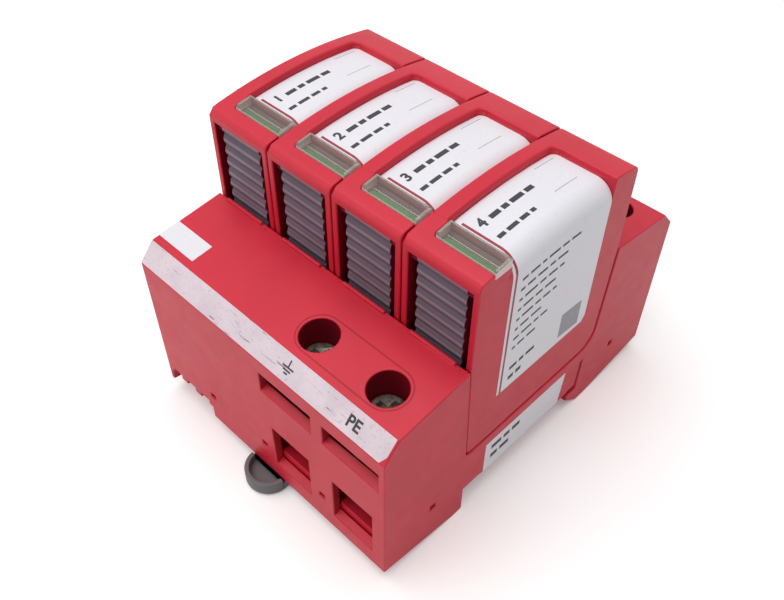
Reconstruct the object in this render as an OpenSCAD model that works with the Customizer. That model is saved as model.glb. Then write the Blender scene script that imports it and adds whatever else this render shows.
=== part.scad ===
// Pluggable four-pole surge arrester for a 35 mm top-hat rail.
// X runs along the rail, Y along the length of the base and Z away from the rail.
// The origin is the middle of the rail seat, and the earth terminals are on the -Y side.

/* [Row] */
// Width of one pole along the rail
pole_pitch = 18; // [17.6:0.1:20]
// Gap between neighbouring plug-in modules
module_gap = 0.4; // [0.3:0.05:0.8]
// Length of the base across the rail
base_length = 90; // [88:0.5:96]

/* [Rail seat] */
// Width of the top-hat rail
rail_width = 35; // [34:0.1:36]
// Play between the rail and the wall of the fixed hook
rail_play = 0.5; // [0.2:0.1:1]
// Relief of the rail seat beside its flat land
seat_relief = 0.4; // [0.2:0.1:0.6]
// Depth of the feet below the rail seat
foot_depth = 7.2; // [6.8:0.1:7.4]
// Flat land at the inner end of each foot
foot_land = 3; // [2:0.5:5]
// Rise of each foot from its land to the outer face
foot_rise = 3.4; // [3:0.1:4]
// Reach of the fixed hook under the rail
hook_reach = 2.6; // [2:0.1:3]
// Room for the rail flange above the fixed hook
hook_gap = 1.6; // [1.3:0.1:2]
// Thickness of the tip of the fixed hook
hook_tip_t = 1.8; // [1.2:0.1:2.2]
// Distance from the hook wall to the land of the rear foot
hook_root = 2.2; // [1.6:0.1:3]
// Width of the relief slit that lets the hook flex
slit_w = 0.8; // [0.6:0.1:1]
// Height of the relief slit above the rail seat
slit_h = 8.6; // [5:0.1:9]
// Room between the rail and the front foot, filled by the clip
clip_room = 3.7; // [3.4:0.1:4.5]

/* [Base] */
// Wall thickness of the base
wall = 2; // [1.6:0.1:2.4]
// Height of the shoulders beside the modules
shoulder_z = 40.5; // [39:0.5:43]
// Fall of each shoulder from the modules to its outer edge
shoulder_drop = 2.1; // [1:0.1:3]
// Width of the marking chamfer along the outer edge
chamfer_y = 3.8; // [3:0.1:5]
// Height of the marking chamfer along the outer edge
chamfer_z = 4.1; // [3:0.1:5]
// Thickness of the top wall of the terminal blocks
top_wall = 3; // [2.4:0.1:3.6]
// Thickness of the bay floor under the modules
bay_floor_t = 2.2; // [1.6:0.1:2.6]
// Thickness of the walls between neighbouring terminals
rib_t = 1.6; // [1:0.1:2]
// Thickness of the bottom part above the rail seat
bottom_t = 2.6; // [2:0.1:3]
// Height of the small rim in front of each release lever
rim_h = 0.6; // [0.4:0.1:1]
// Thickness of the small rim in front of each release lever
rim_t = 0.8; // [0.6:0.1:1.2]
// Width of the unused signal socket at the first pole
signal_w = 15.6; // [12:0.1:16]
// Depth of the unused signal socket
signal_depth = 8; // [5:0.5:10]
// Height of the unused signal socket above the foot's outer edge
signal_h = 3.5; // [3:0.1:4]

/* [Terminals] */
// Distance from the outer face to the screw axis
screw_inset = 10; // [9.5:0.1:10.5]
// Diameter of the screwdriver holes
access_d = 8; // [7.6:0.1:8.4]
// Diameter of the guide collar below each screwdriver hole
collar_d = 10.4; // [10:0.1:11]
// Width of the wire entries
entry_w = 11.1; // [9:0.1:11.5]
// Height of the wire entries
entry_h = 9.7; // [8:0.1:10]
// Fall of the sloped sill of the wire entries at the outer face
sill_drop = 3.2; // [2:0.1:4]
// Width of the comb slots
comb_w = 14.8; // [12:0.1:15.5]
// Free height of the comb slots
comb_gap = 4.2; // [3.6:0.1:4.6]
// Height of the comb slots at the outer face, with the sloped lip
comb_h = 5.5; // [5:0.1:6]
// Distance from the marking chamfer down to the comb slots
comb_drop = 4.1; // [3.8:0.1:5]
// Depth of the screw heads below the outer edge of the shoulders
head_depth = 5.7; // [5:0.1:6.4]
// Diameter of the screw heads
head_d = 7.4; // [7:0.1:7.5]
// Height of the screw heads
head_h = 3.2; // [2.6:0.1:3.6]
// Diameter of the screw shanks
shank_d = 5; // [4.5:0.1:5.2]
// Width of the clamp cages
cage_w = 11; // [10.6:0.1:11.2]
// Length of the clamp cages along the wire
cage_l = 8; // [7:0.1:9]
// Wall thickness of the clamp cages
cage_t = 1.2; // [1:0.1:1.3]
// Thickness of the tapped top of the clamp cages
cage_top_t = 2.6; // [2:0.1:3]
// Width of the contact strips
strip_w = 8; // [6:0.1:8.2]
// Thickness of the contact strips
strip_t = 1.5; // [1:0.1:1.6]

/* [Modules] */
// Length of the modules across the rail
module_length = 45.6; // [44:0.1:47]
// Height of the underside of the modules above the rail seat
module_z = 13; // [12:0.1:14]
// Height of the crown of the modules above the rail seat
crown_z = 63.8; // [63.2:0.1:66]
// Rise of the arched top from its ends to its crown
crown_rise = 2.2; // [1.5:0.1:3]
// Taper of each end of the modules inside the base
module_draft = 1.4; // [1:0.1:1.8]
// Radius of the front lower edge of the modules
front_r = 1.2; // [0.8:0.1:2]
// Radius of the rear lower edge of the modules, which keys them
rear_r = 5; // [4:0.1:5.5]
// Wall thickness of the module sides
side_t = 1.4; // [1.2:0.1:1.6]
// Width of the raised rim beside the label field
label_rim = 3.4; // [2.8:0.1:4]
// Depth of the label field below the arched top
label_depth = 1.6; // [1:0.1:1.8]
// Radius over which the label field turns down the side
label_r = 4; // [3:0.1:5]
// Length of the raised band behind the label field
label_back = 7.7; // [6:0.1:10]
// Radius of the rear left corner of the label field
label_corner = 1.5; // [0.8:0.1:2]
// Distance from the front of a module to its window
window_inset = 3.6; // [3.4:0.1:4]
// Length of the window across the rail
window_l = 4.6; // [4.4:0.1:5]
// Distance from the left side of a module to its window
window_side = 3.7; // [3:0.1:4.5]
// Height of the window where it turns down the side
window_h = 4.6; // [4.2:0.1:4.8]
// Wall thickness of the window
window_t = 0.6; // [0.4:0.1:0.7]
// Radius of the front left corner of the window
window_r = 1; // [0.6:0.1:1.2]
// Width of the indicator flag
flag_l = 1.4; // [1:0.1:1.5]
// Radius of the varistor disc
disc_r = 14.5; // [12:0.1:14.8]
// Thickness of the varistor disc
disc_t = 7; // [5:0.1:7.4]
// Distance of the plug blades from the rear edge of the module's cover
blade_edge = 2.6; // [2.2:0.1:3.2]
// Thickness of the plug blades
blade_t = 1; // [0.8:0.1:1.2]
// Width of the plug blades
blade_w = 8; // [6:0.1:8.4]
// Length of the plug blades below a module
blade_out = 6.6; // [5.5:0.1:6.8]

/* [Release levers] */
// Width of the release levers
lever_w = 11.5; // [10:0.1:12.5]
// Length of the ribbed face of the levers
lever_h = 19.8; // [18:0.1:20.4]
// Pitch of the ribs on each lever
rib_pitch = 2.8; // [2.2:0.1:3.2]
// Distance from the top of a lever to its first groove
rib_start = 1.8; // [1.4:0.1:2.2]
// Distance of the rib crests behind the end of a module
lever_set = 0.6; // [0.4:0.1:0.8]
// Thickness of the lever plate
lever_t = 1.1; // [0.9:0.1:1.2]
// Radius of the lever's pivot pins
pivot_r = 0.9; // [0.7:0.05:1]

/* [Rail clip] */
// Width of the clip
clip_w = 14; // [12:0.1:14.6]
// Thickness of the clip
clip_t = 2.3; // [2:0.1:2.4]
// Width of the pull tab outside the base
tab_w = 10.8; // [9:0.1:12]
// Length of the pull tab outside the base
tab_out = 5.4; // [4.6:0.1:6]
// Height of the rim of the pull tab above the clip
tab_rise = 1.2; // [0.8:0.1:1.4]
// Thickness of the raised rim of the pull tab
tab_rim = 1.1; // [0.8:0.1:1.6]
// Depth of the dish in the pull tab
tab_dish = 2.2; // [1.6:0.1:2.4]
// Travel of the clip when it is pulled
clip_travel = 4; // [3.5:0.1:4.2]

/* [Clearances] */
// Gap between a module and its bay
bay_gap = 0.3; // [0.2:0.05:0.4]
// Gap between pieces that are assembled once
fit_gap = 0.15; // [0.1:0.01:0.2]
// Gap between pieces that slide on each other
slide_gap = 0.3; // [0.25:0.01:0.4]
// Radial gap of pins and screws in their bores
pin_gap = 0.05; // [0.02:0.01:0.09]

/* [Hidden] */
$fn = 48;
pole_count = 4;
poles = [0:pole_count - 1];
pe_poles = [2:pole_count - 1];
ends = [-1, 1];

module_parts = [
    "housing", "bottom", "window", "flag", "slider", "front_button", "rear_button", "varistor", "blades"
];

// Colours of the moulded and metal pieces
red = [0.78, 0.13, 0.17];
inner_red = [0.62, 0.1, 0.13];
clip_grey = [0.38, 0.37, 0.38];
lever_grey = [0.4, 0.38, 0.41];
green = [0.25, 0.5, 0.28];
clear = [0.85, 0.85, 0.8, 0.5];
zinc = [0.72, 0.72, 0.7];
copper = [0.76, 0.5, 0.32];
coat_blue = [0.2, 0.3, 0.5];

// Overlap of cutting shapes past the faces that they cut
cut = 1;
crown_fn = 360;

// Base outline
row_w = pole_count * pole_pitch;
half_l = base_length / 2;
bay_y = module_length / 2 + bay_gap;
foot_z = -foot_depth;
heel_z = foot_z + foot_rise;
chamfer_top = shoulder_z - shoulder_drop;
strip_z = chamfer_top - chamfer_z;
hook_wall = rail_width / 2 + rail_play;
hook_tip = hook_wall - hook_reach;
slit_lean = 0.4;
rear_land = hook_wall + hook_root;
front_wall = -rail_width / 2 - clip_room;
inner_x = row_w / 2 - wall;
inner_y = half_l - wall;
bay_floor = module_z - bay_gap;
pocket_top = bay_floor - bay_floor_t;
pocket_y = bay_y + wall;

// Signal socket and snap fasteners
socket_leg = 1;
socket_x = -row_w / 2 + socket_leg;
socket_top = heel_z + signal_h;
notch_count = 3;
notch_w = 2.8;
notch_h = 1.4;
notch_depth = 1.2;
snap_w = 3;
snap_t = 1;
snap_h = 3.8;
snap_nose = 1.1;
snap_window = 1.6;
snap_rise = 1.4;
snap_z = bottom_t + snap_rise;
snap_inset = 14;
snap_end_y = half_l - snap_inset;

// Plug blades under a module
half_m = module_length / 2;
cover_step = 1.8;
cover_back = half_m - module_draft - rear_r - cover_step;
blade_y = cover_back - blade_edge;

// Terminals, written for the +Y side
term_y = half_l - screw_inset;
cage_z = bottom_t + slide_gap;
entry_z = cage_z + cage_t;
bar_gap = 0.5;
bar_z = entry_z + entry_h + bar_gap;
shank_z = bar_z + strip_t + slide_gap;
cage_h = shank_z + cage_top_t - cage_z;
comb_top = strip_z - comb_drop;
head_gap = 0.4;
head_z = chamfer_top - head_depth - head_h;
collar_z = head_z + head_gap;
recess_w = 1.2;
recess_l = 5.2;
recess_d = 1.6;
seat_h = 1.6;
run_z = bottom_t + seat_h;
bar_end = inner_y - bar_gap - cage_t;
leg_gap = 0.5;
leg_y = pocket_y + leg_gap;
leaf_t = 0.6;
leaf_gap = 0.25;
leaf_top = pocket_top - slide_gap;
run_end = blade_y - blade_t / 2 - leaf_gap - leaf_t;
seat_w = 6;
slot_gap = 0.6;
bus_w = 5;

// Modules
module_w = pole_pitch - module_gap;
crown_r = (half_m * half_m + crown_rise * crown_rise) / (2 * crown_rise);
inside_x = module_w / 2 - side_t;
end_t = 2.2;
inside_y = half_m - module_draft - end_t;
cover_t = 2.2;
cover_front = -inside_y;
label_front = -half_m + window_inset + window_l;
label_end = half_m - label_back;
rim_x = -module_w / 2 + label_rim;
window_x = -module_w / 2 + window_side;
window_y = -half_m + window_inset;
window_floor = crown_z - window_h;
floor_t = 2.1;
ceiling_z = window_floor - floor_t;
window_proud = 0.15;
small_r = 0.3;
window_roof = 1;
edge_z = crown_z - crown_rise;
flag_t = 0.9;
flag_inset = 0.6;
flag_x = window_x + window_t + flag_inset;
flag_y = window_y + window_t + slide_gap;
flag_travel = window_l - 2 * window_t - 2 * slide_gap - flag_l;
stem_w = 2.4;
stem_l = 0.8;
stem_h = 5;
stem_y = flag_y + flag_l - stem_l;
slider_w = 5.2;
slider_l = 2;
slider_h = 8;
slider_z = window_floor + slide_gap - stem_h - slider_h;
disc_lift = 4.3;
disc_z = module_z + cover_t + disc_lift + disc_r;
tab_t = 0.6;
tab_drop = 4;
tab_top = disc_z - tab_drop;
cradle_y = 6;
cradle_l = 2;
cradle_w = 6;

// Release levers, written for the -Y end
lever_gap = 0.3;
brow_h = 2.5;
recess_top = edge_z - brow_h;
lever_top = recess_top - lever_gap;
lever_z = lever_top - lever_h;
rib_count = ceil(lever_h / rib_pitch) + 1;
rib_swell = 0.8;
rib_r = rib_pitch * rib_swell;
rib_out = 0.9;
rib_top = lever_top - rib_start + rib_pitch / 2;
lever_face = -half_m + lever_set;
plate_front = lever_face + rib_out;
plate_back = plate_front + lever_t;
recess_back = plate_back + 2 * lever_gap;
pivot_inset = 0.35;
pivot_drop = 1.2;
pivot_y = plate_front + pivot_inset;
pivot_z = lever_top - pivot_drop;
pin_bite = 0.7;
tail_h = 4;
tail_w = 8;
nose_h = 1.5;
nose_out = 0.9;
tail_gap = 1.2;
mouth_z = lever_z - tail_h - tail_gap;
mouth_inset = 1;
mouth_x = inside_x - mouth_inset;
lintel_h = 1.8;

// Rail clip
clip_top = heel_z - slide_gap - wall * foot_rise / (half_l - foot_land + front_wall) - 0.1;
clip_z = clip_top - clip_t;
flange_w = 1;
flange_t = 1.1;
flange_inset = 5;
flange_front = -half_l + flange_inset;
flange_end = 1.8;
flange_back = front_wall - flange_end;
lip_top = -hook_gap - 0.1;
lip_t = 1.7;
lip_reach = 1.3;
lip_set = 0.6;
lip_tip = -rail_width / 2 + lip_reach;
lip_back = front_wall + lip_set;
tab_r = tab_w / 2;
tab_y = -half_l - tab_out + tab_r;
rim_top = clip_top + tab_rise;

// Centre of a pole along the rail
function pole_x(i) = (i - (pole_count - 1) / 2) * pole_pitch;

// Height of the shoulder at a distance from the middle
function shoulder_at(y) = shoulder_z - shoulder_drop * (y - bay_y) / (half_l - chamfer_y - bay_y);

// Points of an arc about a centre
function arc(centre, r, a0, a1, steps = 6) =
    [for (k = [0:steps]) let (a = a0 + (a1 - a0) * k / steps) centre + r * [cos(a), sin(a)]];

// Y-Z outline of the base, without the bay, with or without the relief slit
function base_outline(slit) = concat(
    [
        [-half_l, heel_z],
        [-half_l, strip_z],
        [-half_l + chamfer_y, chamfer_top],
        [-bay_y, shoulder_z],
        [bay_y, shoulder_z],
        [half_l - chamfer_y, chamfer_top],
        [half_l, strip_z],
        [half_l, heel_z],
        [rear_land + foot_land, foot_z],
        [rear_land, foot_z],
        [hook_tip, -hook_gap - hook_tip_t],
        [hook_tip, -hook_gap]
    ],
    slit
        ? [
            [hook_wall + slit_w, -hook_gap],
            [hook_wall + slit_lean + slit_w, slit_h],
            [hook_wall + slit_lean, slit_h]
        ]
        : [[hook_wall, -hook_gap]],
    [
        [hook_wall, seat_relief],
        [hook_tip - slide_gap, seat_relief],
        [hook_tip - slide_gap, 0],
        [lip_tip + slide_gap, 0],
        [lip_tip + slide_gap, seat_relief],
        [front_wall, seat_relief],
        [front_wall, foot_z],
        [front_wall - foot_land, foot_z]
    ]
);

// Y-Z outline of a module, grown by a gap for the bay
function module_outline(gap) = let (
    h = half_m + gap,
    low = h - module_draft,
    z = module_z - gap,
    top = crown_z + cut
) concat(
    [[-h, top], [-h, shoulder_z]],
    arc([-low + front_r, z + front_r], front_r, 180, 270),
    arc([low - rear_r, z + rear_r], rear_r, 270, 360),
    [[h, shoulder_z], [h, top]]
);

// Box between two values on each axis
module span(x, y, z) {
    translate([x[0], y[0], z[0]])
        cube([x[1] - x[0], y[1] - y[0], z[1] - z[0]]);
}

// Box like span, with a front and a rear radius on the upright edges of its left end
module left_round(x, y, z, r) {
    middle = (y[0] + y[1]) / 2;
    span(x, [y[0] + r[0], y[1] - r[1]], z);
    span([x[0] + r[0], x[1]], [y[0], middle], z);
    span([x[0] + r[1], x[1]], [middle, y[1]], z);
    for (corner = [[y[0] + r[0], r[0]], [y[1] - r[1], r[1]]])
        translate([x[0] + corner[1], corner[0], z[0]])
            cylinder(r = corner[1], h = z[1] - z[0]);
}

// Y-Z outline drawn out along X about the middle
module along_x(width) {
    rotate([90, 0, 90])
        linear_extrude(height = width, center = true)
            children();
}

// Round bar along X about the middle
module bar_x(r, width, y, z) {
    translate([0, y, z])
        rotate([0, 90, 0])
            cylinder(r = r, h = width, center = true);
}

// Places a terminal feature at a pole, on the front (-1) or the rear (1)
module at_terminal(pole, side) {
    translate([pole_x(pole), 0, 0])
        rotate(side > 0 ? 0 : 180)
            children();
}

// Repeats a terminal feature at every terminal of the row
module at_terminals() {
    for (i = poles)
        at_terminal(i, 1) children();
    for (i = pe_poles)
        at_terminal(i, -1) children();
}

// Hollow of one terminal block between its dividing walls
module block_pocket(pole, side) {
    first = pole == 0 ? -inner_x : pole_x(pole) - pole_pitch / 2 + rib_t / 2;
    last = pole == pole_count - 1 ? inner_x : pole_x(pole) + pole_pitch / 2 - rib_t / 2;
    translate([(first + last) / 2, 0, 0])
        rotate(side > 0 ? 0 : 180)
            along_x(last - first)
                polygon([
                    [pocket_y, bottom_t],
                    [inner_y, bottom_t],
                    [inner_y, strip_z - wall / 2],
                    [half_l - chamfer_y, chamfer_top - top_wall],
                    [pocket_y, shoulder_z - top_wall]
                ]);
}

// Comb slot with its sloped lip
module comb_slot() {
    along_x(comb_w)
        polygon([
            [inner_y - cut, comb_top - comb_gap],
            [inner_y, comb_top - comb_gap],
            [half_l, comb_top - comb_h],
            [half_l + cut, comb_top - comb_h],
            [half_l + cut, comb_top],
            [inner_y - cut, comb_top]
        ]);
}

// Wire entry with its sloped sill
module wire_entry() {
    along_x(entry_w)
        polygon([
            [inner_y - cut, entry_z],
            [inner_y, entry_z],
            [half_l, entry_z - sill_drop],
            [half_l + cut, entry_z - sill_drop],
            [half_l + cut, entry_z + entry_h],
            [inner_y - cut, entry_z + entry_h]
        ]);
}

// Screwdriver hole through the shoulder and its collar
module access_hole() {
    translate([0, term_y, collar_z - cut])
        cylinder(d = access_d, h = shoulder_z - collar_z + 2 * cut);
}

// Collar that guides a screw head, cut off at the slope of the shoulder
module collar() {
    translate([0, term_y, collar_z])
        cylinder(d = collar_d, h = chamfer_top - top_wall / 2 - collar_z);
}

// Repeats a snap fastener along the four walls
module snap_places() {
    for (i = [1:pole_count - 1], side = ends)
        translate([pole_x(i) - pole_pitch / 2, 0, 0])
            rotate(side > 0 ? 0 : 180)
                children();
    for (side = ends, y = ends)
        translate([side * (row_w / 2 - half_l), y * snap_end_y, 0])
            rotate(-side * 90)
                children();
}

// Window and notch for a snap arm
module snap_window() {
    span([-snap_window / 2, snap_window / 2], [inner_y - cut, half_l + cut], [snap_z, snap_z + snap_window]);
    span([-snap_w / 2 - slide_gap, snap_w / 2 + slide_gap], [inner_y - snap_t - 2 * slide_gap, inner_y],
         [bottom_t, bottom_t + snap_h + slide_gap]);
}

// Snap arm of the bottom part, with its nose
module snap_arm() {
    nose = snap_window - 2 * slide_gap;
    face = inner_y - fit_gap;
    span([-snap_w / 2, snap_w / 2], [face - snap_t, face], [bottom_t - cut, bottom_t + snap_h]);
    span([-nose / 2, nose / 2], [face - snap_t, face + snap_nose],
         [snap_z + slide_gap, snap_z + slide_gap + nose]);
}

// Open space of the unused signal socket, with the notches above it
module signal_socket() {
    span([socket_x, socket_x + signal_w], [-half_l - cut, -half_l + signal_depth],
         [foot_z - cut, socket_top]);
    pitch = signal_w / notch_count;
    for (k = [0:notch_count - 1])
        translate([socket_x + pitch * (k + 0.5) - notch_w / 2, -half_l - cut, socket_top - cut])
            cube([notch_w, notch_depth + cut, notch_h + cut]);
}

// Red base with the bay, the terminal blocks and the signal socket
module base_housing() {
    color(red)
        difference() {
            union() {
                difference() {
                    along_x(row_w) polygon(base_outline(true));
                    along_x(row_w + 2 * cut) polygon(module_outline(bay_gap));
                    span([-inner_x, inner_x], [-inner_y, inner_y], [foot_z - cut, bottom_t + fit_gap]);
                    span([-inner_x, inner_x], [-pocket_y - cut, pocket_y + cut], [bottom_t, pocket_top]);
                    for (i = poles)
                        block_pocket(i, 1);
                    for (i = pe_poles)
                        block_pocket(i, -1);
                }
                at_terminals() collar();
                for (i = poles, side = ends)
                    at_terminal(i, side)
                        span([-lever_w / 2, lever_w / 2], [bay_y, bay_y + rim_t],
                             [shoulder_z - cut, shoulder_z + rim_h]);
            }
            at_terminals() access_hole();
            at_terminals() comb_slot();
            at_terminals() wire_entry();
            for (i = poles, side = ends)
                at_terminal(i, side)
                    span([-blade_w / 2 - slot_gap, blade_w / 2 + slot_gap],
                         [blade_y - blade_t / 2 - slot_gap, blade_y + blade_t / 2 + slot_gap],
                         [pocket_top - cut, bay_floor + cut]);
            snap_places() snap_window();
            signal_socket();
        }
}

// Channel of the rail clip in the front foot
module clip_channel() {
    x = clip_w / 2 + slide_gap;
    span([-x, x], [-half_l, front_wall + cut], [foot_z - cut, clip_top + slide_gap]);
    span([-x - flange_w, x + flange_w], [-half_l, flange_back + slide_gap],
         [clip_top - flange_t - slide_gap, clip_top + slide_gap]);
    span([-x, x], [lip_back - clip_travel - lip_t - 2 * slide_gap, front_wall + cut],
         [foot_z - cut, lip_top + slide_gap]);
}

// Bottom part with its snap arms, the seats of the contact strips and a guide under each wire
module base_bottom() {
    x = inner_x - fit_gap;
    y = inner_y - fit_gap;
    color(inner_red)
        difference() {
            union() {
                intersection() {
                    along_x(2 * x) polygon(base_outline(false));
                    span([-x, x], [-y, y], [foot_z - cut, bottom_t]);
                }
                snap_places() snap_arm();
                for (i = poles, side = ends)
                    at_terminal(i, side)
                        span([-seat_w / 2, seat_w / 2], [blade_y + 2 * cut, pocket_y - cut],
                             [bottom_t - cut, run_z]);
                at_terminals()
                    span([-cage_w / 2, cage_w / 2], [term_y + cage_l / 2 + slide_gap, y],
                         [bottom_t - cut, entry_z - fit_gap]);
            }
            clip_channel();
            signal_socket();
        }
}

// Grey clip: a flanged bar with the rail lip at one end and a dished tab at the other
module rail_clip() {
    x = clip_w / 2;
    color(clip_grey)
        difference() {
            union() {
                span([-x, x], [-half_l + cut, front_wall], [clip_z, clip_top]);
                span([-tab_r, tab_r], [-half_l - 2 * slide_gap, -half_l + 2 * cut], [clip_z, clip_top]);
                span([-x - flange_w, x + flange_w], [flange_front, flange_back],
                     [clip_top - flange_t, clip_top]);
                along_x(clip_w)
                    polygon([
                        [front_wall - lip_t, clip_z],
                        [lip_back + lip_t, clip_z],
                        [lip_tip, lip_top - lip_t],
                        [lip_tip, lip_top],
                        [lip_back, lip_top],
                        [front_wall - lip_t, clip_top]
                    ]);
                intersection() {
                    translate([0, tab_y, clip_z])
                        cylinder(r = tab_r, h = rim_top - clip_z);
                    span([-x, x], [-half_l - tab_out, -half_l - slide_gap], [clip_z, rim_top]);
                }
            }
            intersection() {
                translate([0, tab_y, rim_top - tab_dish])
                    cylinder(r = tab_r - tab_rim, h = tab_dish + cut);
                span([-x, x], [-half_l - tab_out, -half_l + cut / 2], [clip_z, rim_top + cut]);
            }
        }
}

// Terminal screw with a cross recess
module terminal_screw() {
    color(zinc)
        translate([0, term_y, 0])
            difference() {
                union() {
                    translate([0, 0, shank_z])
                        cylinder(d = shank_d, h = head_z - shank_z + cut);
                    translate([0, 0, head_z])
                        cylinder(d = head_d, h = head_h);
                }
                for (turn = [0, 90])
                    rotate(turn)
                        translate([0, 0, head_z + head_h])
                            cube([recess_l, recess_w, 2 * recess_d], center = true);
            }
}

// Clamp cage: a frame round the wire and the contact bar, with a tapped top
module clamp_cage() {
    x = cage_w / 2;
    color(zinc)
        difference() {
            span([-x, x], [term_y - cage_l / 2, term_y + cage_l / 2], [cage_z, cage_z + cage_h]);
            span([-x + cage_t, x - cage_t], [term_y - cage_l, term_y + cage_l], [cage_z + cage_t, shank_z]);
            translate([0, term_y, shank_z - cut])
                cylinder(r = shank_d / 2 + pin_gap, h = cage_top_t + 2 * cut);
        }
}

// Strip from a terminal bar down and in under the bay floor
module contact_strip(run_from) {
    x = strip_w / 2;
    span([-x, x], [leg_y, bar_end], [bar_z, bar_z + strip_t]);
    span([-x, x], [leg_y, leg_y + strip_t], [run_z, bar_z + strip_t]);
    span([-x, x], [run_from, leg_y + strip_t], [run_z, run_z + strip_t]);
}

// Pair of spring leaves that grip a plug blade
module blade_socket() {
    x = strip_w / 2;
    reach = blade_t / 2 + leaf_gap;
    span([-x, x], [blade_y - reach - leaf_t, pocket_y - 2 * cut], [run_z, run_z + strip_t]);
    for (y = [-reach - leaf_t, reach])
        span([-x, x], [blade_y + y, blade_y + y + leaf_t], [run_z, leaf_top]);
}

// Contact of one line terminal and its blade socket
module line_contact(pole) {
    color(copper)
        at_terminal(pole, 1) {
            contact_strip(run_end);
            blade_socket();
        }
}

// Bar that joins the earth terminals to a blade socket of every module
module pe_busbar() {
    rail_out = pocket_y - 2 * cut;
    rail_in = rail_out - bus_w;
    color(copper) {
        span([pole_x(0) - strip_w / 2, pole_x(pole_count - 1) + strip_w / 2], [-rail_out, -rail_in],
             [run_z, run_z + strip_t]);
        for (i = poles)
            at_terminal(i, -1) blade_socket();
        for (i = pe_poles)
            at_terminal(i, -1) contact_strip(rail_in);
    }
}

// Solid under the arched top, grown by a height above it
module crown(proud = 0) {
    translate([0, 0, crown_z - crown_r])
        rotate([0, 90, 0])
            cylinder(r = crown_r + proud, h = 2 * pole_pitch, center = true, $fn = crown_fn);
}

// Sunk label field that follows the arch and turns down the right side
module label_field() {
    face = crown_r - label_depth;
    edge = module_w / 2;
    intersection() {
        left_round([rim_x, pole_pitch], [label_front - cut / 2, label_end], [shoulder_z, crown_z + cut],
                   [small_r, label_corner]);
        translate([0, 0, crown_z - crown_r])
            rotate([0, 90, 0])
                rotate_extrude($fn = crown_fn) {
                    translate([face, rim_x - cut])
                        square([label_depth + 2 * cut, edge + 2 * cut - rim_x]);
                    difference() {
                        translate([face - label_r, edge - label_r])
                            square([label_r + cut / 2, label_r + cut]);
                        translate([face - label_r, edge - label_r])
                            circle(r = label_r);
                    }
                }
    }
}

// Opening for a release lever, with its pivot bores, at the -Y end
module lever_recess() {
    span([-inside_x, inside_x], [-half_m - cut, recess_back], [mouth_z, recess_top]);
    span([-mouth_x, mouth_x], [recess_back - cut, -inside_y + cut], [mouth_z, pivot_z - lintel_h]);
    bar_x(pivot_r + pin_gap, 2 * (inside_x + pin_bite + slide_gap / 2), pivot_y, pivot_z);
}

// Red shell of a plug-in module
module module_housing() {
    color(red)
        difference() {
            intersection() {
                along_x(module_w) polygon(module_outline(0));
                crown();
            }
            span([-inside_x, inside_x], [-inside_y, inside_y], [module_z + cover_t, ceiling_z]);
            span([-inside_x, inside_x], [cover_front, cover_back],
                 [module_z - cut, module_z + cover_t + cut]);
            label_field();
            left_round([window_x, pole_pitch], [window_y, label_front], [window_floor, crown_z + cut],
                       [window_r, small_r]);
            span([-stem_w / 2 - slide_gap, stem_w / 2 + slide_gap],
                 [stem_y - slide_gap, stem_y + stem_l + flag_travel + slide_gap],
                 [ceiling_z - cut, window_floor + cut]);
            for (turn = [0, 180])
                rotate(turn) lever_recess();
        }
}

// Closing cover with blade slots and the cradle of the disc
module module_bottom() {
    x = inside_x - fit_gap;
    near = cradle_y - cradle_l / 2;
    cradle_top = disc_z - sqrt(disc_r * disc_r - near * near) - slide_gap;
    color(inner_red)
        difference() {
            union() {
                span([-x, x], [cover_front + fit_gap, cover_back - fit_gap], [module_z, module_z + cover_t]);
                for (y = [-cradle_y, cradle_y])
                    span([-cradle_w / 2, cradle_w / 2], [y - cradle_l / 2, y + cradle_l / 2],
                         [module_z + cover_t - cut, cradle_top]);
            }
            for (y = [-blade_y, blade_y])
                span([-blade_w / 2 - fit_gap, blade_w / 2 + fit_gap],
                     [y - blade_t / 2 - fit_gap, y + blade_t / 2 + fit_gap],
                     [module_z - cut, module_z + cover_t + cut]);
        }
}

// Clear cover that follows the arch and turns down the right side
module module_window() {
    left = window_x + fit_gap;
    front = window_y + fit_gap;
    back = label_front - fit_gap;
    color(clear)
        intersection() {
            difference() {
                left_round([left, module_w / 2], [front, back], [window_floor, crown_z + cut],
                           [window_r - fit_gap, small_r - fit_gap]);
                span([left + window_t, module_w / 2 - window_t],
                     [front + window_t - fit_gap, back - window_t + fit_gap],
                     [window_floor - cut, edge_z - window_roof + crown_rise / 4]);
            }
            crown(window_proud);
        }
}

// Green flag with the stem that carries it
module module_flag() {
    z = window_floor + slide_gap;
    color(green) {
        span([flag_x, module_w / 2 - window_t - flag_inset], [flag_y, flag_y + flag_l], [z, z + flag_t]);
        span([-stem_w / 2, stem_w / 2], [stem_y, stem_y + stem_l], [z - stem_h, z]);
    }
}

// Slider that moves the flag
module module_slider() {
    color(inner_red)
        span([-slider_w / 2, slider_w / 2],
             [stem_y + stem_l / 2 - slider_l / 2, stem_y + stem_l / 2 + slider_l / 2],
             [slider_z, slider_z + slider_h]);
}

// Ribbed lever that hangs from its pivot pins, at the -Y end
module release_lever() {
    x = lever_w / 2;
    color(lever_grey) {
        span([-x, x], [plate_front, plate_back], [lever_z, lever_top]);
        intersection() {
            for (k = [0:rib_count - 1])
                bar_x(rib_r, lever_w, lever_face + rib_r, rib_top - rib_pitch * k);
            span([-x, x], [lever_face - cut, plate_back], [lever_z, lever_top]);
        }
        bar_x(pivot_r, 2 * (inside_x + pin_bite), pivot_y, pivot_z);
        span([-tail_w / 2, tail_w / 2], [plate_front, plate_back], [lever_z - tail_h, lever_z + cut]);
        span([-tail_w / 2, tail_w / 2], [plate_front - nose_out, plate_back],
             [lever_z - tail_h, lever_z - tail_h + nose_h]);
    }
}

// Varistor disc, standing across the module
module module_varistor() {
    color(coat_blue)
        bar_x(disc_r, disc_t, 0, disc_z);
}

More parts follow.
